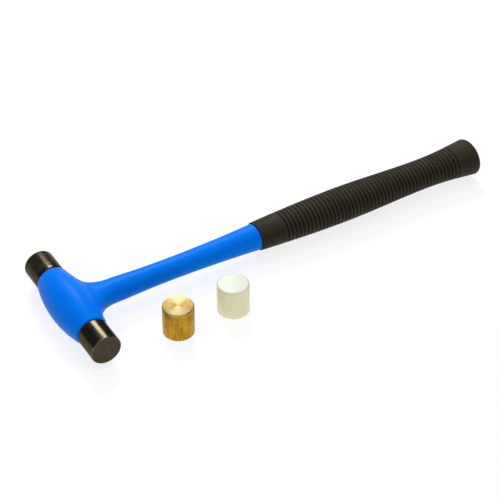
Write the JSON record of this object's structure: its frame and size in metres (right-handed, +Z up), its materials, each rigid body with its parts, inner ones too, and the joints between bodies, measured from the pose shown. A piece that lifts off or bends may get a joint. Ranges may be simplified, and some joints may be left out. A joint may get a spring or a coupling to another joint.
{
  "type": "dead blow mallet",
  "caption": "Small dead blow mallet lying on its side: moulded head and shank over a shot canister, ribbed rubber grip, screw-on faces and loose spare faces.",
  "frame": {"origin": "middle of the base of the whole object's box, on the surface that the mallet lies on", "axes": "+X along the head's axis towards the steel face, +Y along the handle from the head to the grip's butt, +Z up from the surface"},
  "size_m": [0.0582, 0.1906, 0.017],
  "materials": {
    "moulded_blue": "satin moulded nylon",
    "grip_rubber": "matte moulded rubber with fine rings",
    "face_rubber": "hard rubber, satin",
    "black_steel": "blackened turned steel",
    "turned_brass": "turned, unpolished",
    "white_nylon": "natural nylon, slightly translucent",
    "zinc_steel": "zinc plated",
    "bright_steel": "bright steel",
    "pad_fibre": "pressed fibre"
  },
  "bodies": {
    "hammer": {"moulded_body": "moulded_blue", "canister_tube": "zinc_steel", "end_plug_a": "zinc_steel", "end_plug_b": "zinc_steel", "face_stud_a": "zinc_steel", "face_stud_b": "zinc_steel", "shot_pad_a": "pad_fibre", "shot_pad_b": "pad_fibre", "core_socket": "zinc_steel", "core_rod": "zinc_steel", "core_pin": "bright_steel", "grip_sleeve": "grip_rubber"},
    "washer_a": {"seat_washer_a": "black_steel"},
    "rubber_face": {"rubber_face": "face_rubber", "rubber_face_insert": "black_steel"},
    "washer_b": {"seat_washer_b": "black_steel"},
    "steel_face": {"steel_face": "black_steel"},
    "shot": {"steel_shot": "bright_steel"},
    "brass_face": {"brass_face": "turned_brass"},
    "nylon_face": {"nylon_face": "white_nylon"}
  },
  "joints": [
    {"name": "rubber_face_out", "type": "slide", "parent": "hammer", "child": "washer_a", "axis": [-1, 0, 0], "range_m": [0, 0.0071]},
    {"name": "rubber_face_turn", "type": "hinge", "parent": "washer_a", "child": "rubber_face", "pos_m": [-0.01785, -0.08675, 0.0085], "axis": [-1, 0, 0], "range_deg": [0, 2520]},
    {"name": "steel_face_out", "type": "slide", "parent": "hammer", "child": "washer_b", "axis": [1, 0, 0], "range_m": [0, 0.0071]},
    {"name": "steel_face_turn", "type": "hinge", "parent": "washer_b", "child": "steel_face", "pos_m": [0.01635, -0.08675, 0.0085], "axis": [1, 0, 0], "range_deg": [0, 2520]},
    {"name": "shot_slide", "type": "slide", "parent": "hammer", "child": "shot", "axis": [1, 0, 0], "range_m": [-0.005, 0.005]},
    {"name": "brass_face_lift", "type": "slide", "parent": "hammer", "child": "brass_face", "axis": [0, 0, 1], "range_m": [0, 0.025]},
    {"name": "nylon_face_lift", "type": "slide", "parent": "hammer", "child": "nylon_face", "axis": [0, 0, 1], "range_m": [0, 0.025]}
  ],
  "couplings": [
    {"joint": "rubber_face_out", "follows": "rubber_face_turn", "m_per_rad": 0.00015915},
    {"joint": "steel_face_out", "follows": "steel_face_turn", "m_per_rad": 0.00015915}
  ]
}
